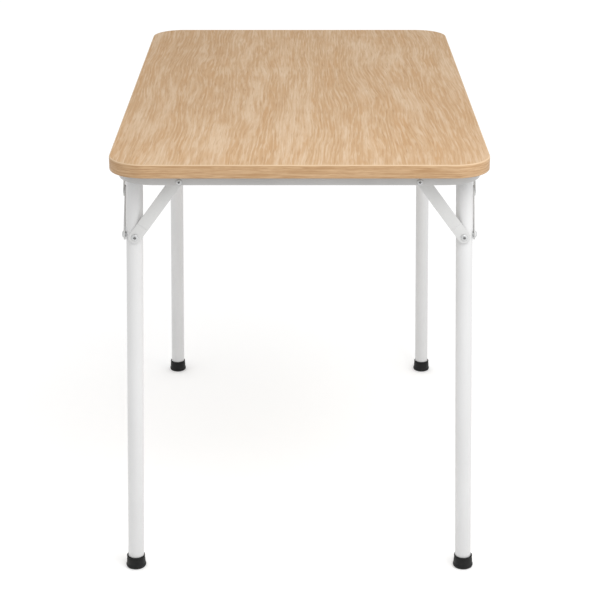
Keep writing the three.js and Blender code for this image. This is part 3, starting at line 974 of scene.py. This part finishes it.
def sideRivet(end, kind, sunk, collarTo=0.0, share=1.0):
    # a rivet along X whose head faces outwards; sunk moves its tail, and share lowers the head
    low, high = nearBox(end, kind)
    middle = (low + high) / 2
    radius = (high.y - low.y) / 2
    tail, tip = Vector((low.x - sunk, middle.y, middle.z)), Vector((high.x, middle.y, middle.z))
    face = tip - across * rivet["headRise"]
    return makeRivet(tail, face, face.lerp(tip, share), radius, collarTo)


def endRivet(end, kind, sunk, face):
    # a rivet along Y whose head faces the end
    low, high = nearBox(end, kind)
    middle = (low + high) / 2
    radius = (high.x - low.x) / 2
    tail, tip = Vector((middle.x, high.y + sunk, middle.z)), Vector((middle.x, low.y, middle.z))
    return makeRivet(tail, Vector((middle.x, face, middle.z)), tip, radius)


def makeTail(end):
    # the flush tail of the knuckle rivet, on the inner face of the lower stay
    low, high = nearBox(end, "knuckle_rivet")
    stayLow, _ = nearBox(end, "lower_stay_link")
    middle = (low + high) / 2
    piece = turned("tail", rivet["tail"], rivet["tailSides"])
    return settle(piece, aimed(Vector((stayLow.x, middle.y, middle.z)), -across))


for end in ("near", "far"):
    _, braceHigh = nearBox(end, "brace_rivet")
    braceFace = braceHigh.y - brace["thickness"]
    collarTo = rivet["collarDepth"] + rivet["buried"]
    setDown(endRivet(end, "bow_rivet", rivet["proud"], bowLow.y), end, "BowRivet", zinc, "rivet",
            "table_top", "{end}_{side}_bow_rivet")
    setDown(endRivet(end, "brace_rivet", rivet["buried"], braceFace), end, "BraceRivet", zinc, "rivet",
            "{end}_leg_frame", "{end}_{side}_brace_rivet")
    setDown(sideRivet(end, "leg_pivot_rivet", rivet["buried"], collarTo), end, "LegPivotRivet", zinc, "rivet",
            "{end}_leg_frame", "{end}_{side}_leg_pivot_rivet")
    setDown(sideRivet(end, "knuckle_rivet", 0, share=rivet["lowHead"]), end, "KnuckleRivet", zinc, "rivet",
            "{end}_{side}_upper_stay", "{end}_{side}_knuckle_rivet")
    setDown(sideRivet(end, "anchor_rivet", rivet["flush"]), end, "AnchorRivet", zinc, "rivet",
            "table_top", "{end}_{side}_anchor_rivet")
    setDown(makeTail(end), end, "KnuckleTail", zinc, "rivet", "{end}_{side}_lower_stay")

screw = {
    "radius": 0.0036,
    "rise": 0.0021,
    "sides": 28,
    "slotLong": 0.0042,
    "slotWide": 0.0009,
    "slotDeep": 0.0011,
    "turn": 1.1,                            # from one screw's slots to the next one's, in radians
    "alongBow": (-0.225, -0.1, 0, 0.1, 0.225),
    "arm": (0.2785, -0.395),                # places on the right of the near end
    "hanger": (0.163, -0.457),
    "anchorPlate": (0.2825, -0.357),
}


def makeScrew():
    # a pan head with a cross recess, facing down
    radius, rise = screw["radius"], screw["rise"]
    profile = [(radius, 0), (radius, rise * 0.25), (radius * 0.94, rise * 0.55), (radius * 0.76, rise * 0.85),
               (radius * 0.4, rise)]
    head = turned("screw", profile, screw["sides"])
    deselectAll()
    bpy.ops.mesh.primitive_cube_add(size=1)
    cutter = settle(named("cutter"), Matrix.Translation((0, 0, rise)) @ Matrix.Diagonal(
        (screw["slotLong"], screw["slotWide"], screw["slotDeep"] * 2, 1)))
    for turn in (0, pi / 2):
        blade = copyTo(cutter, "blade", Matrix.Rotation(turn, 4, "Z"))
        addModifier(head, "BOOLEAN", object=blade, operation="DIFFERENCE", solver="EXACT")
        discard(blade)
    discard(cutter)
    return head


def screwSpots(end):
    underFlange = bowHigh.z - bow["sheet"]
    underLeaf = underFlange - hanger["sheet"]
    spots = [(x, bowLow.y + bow["flange"] / 2, underFlange) for x in screw["alongBow"]]
    heights = {"arm": underFlange, "hanger": underLeaf}
    if end == "far":
        heights["anchorPlate"] = underLeaf
    for kind, height in heights.items():
        x, y = screw[kind]
        spots += [(-x, y, height), (x, y, height)]
    return spots


screwMaster = makeScrew()
count = 0
for end, toEnd in (("near", 1), ("far", -1)):
    for x, y, z in screwSpots(end):
        count += 1
        turn = Matrix.Rotation(pi, 4, "X") @ Matrix.Rotation(count * screw["turn"], 4, "Z")
        spot = copyTo(screwMaster, f"screw{count:02d}", Matrix.Translation((x, y * toEnd, z)) @ turn)
        hand(spot, zinc, "rivet", "table_top")
discard(screwMaster)
print("rivets and screws done")


# the floor, the light and the camera

studio = {
    "world": 0.92,
    "floor": tone(240, 240, 240),
    "floorCloud": tone(243, 243, 243),
    "floorSize": 80,
    "glow": 0.225,
}
lights = {                                  # place, aim, width, length and power in watts
    "overhead": ((0.5, -1.15, 1.75), (0, -0.35, 0.7), 1.0, 0.8, 11),
    "rightBox": ((2.6, -1.6, 1.1), (0, -0.2, 0.4), 1.6, 1.8, 11),
}
view = {"lens": 103.0, "sensor": 36.0, "place": (0.0008, -3.0476, 1.4883), "tilt": 69.141}


def makeFloor():
    deselectAll()
    bpy.ops.mesh.primitive_plane_add(size=studio["floorSize"])
    floor = named("floor")
    finish = Finish("paleFloor", Specular_IOR_Level=0.0, Roughness=0.9)
    cloud = finish.noise(finish.place((0.6, 0.6, 1)), 2)
    finish.colour(finish.blend(cloud, studio["floor"], studio["floorCloud"]))
    finish.shader.inputs["Emission Color"].default_value = (1, 1, 1, 1)
    finish.shader.inputs["Emission Strength"].default_value = studio["glow"]
    floor.data.materials.append(finish.material)


def addLight(name, place, aim, wide, long, power):
    lamp = bpy.data.lights.new(name, "AREA")
    lamp.shape, lamp.size, lamp.size_y, lamp.energy = "RECTANGLE", wide, long, power
    light = bpy.data.objects.new(name, lamp)
    light.matrix_world = aimed(Vector(place), Vector(place) - Vector(aim))
    bpy.context.collection.objects.link(light)


def makeStudio():
    world = bpy.data.worlds.new("studio")
    bpy.context.scene.world = world
    world.use_nodes = True
    background = world.node_tree.nodes["Background"]
    background.inputs["Color"].default_value = (1, 1, 1, 1)
    background.inputs["Strength"].default_value = studio["world"]
    for name, values in lights.items():
        addLight(name, *values)


def makeCamera():
    lens = bpy.data.cameras.new("camera")
    lens.lens, lens.sensor_width = view["lens"], view["sensor"]
    camera = bpy.data.objects.new("camera", lens)
    camera.location = view["place"]
    camera.rotation_euler = (radians(view["tilt"]), 0, 0)
    bpy.context.collection.objects.link(camera)
    bpy.context.scene.camera = camera
    bpy.context.scene.view_settings.view_transform = "Standard"


makeFloor()
makeStudio()
makeCamera()
print("studio done")
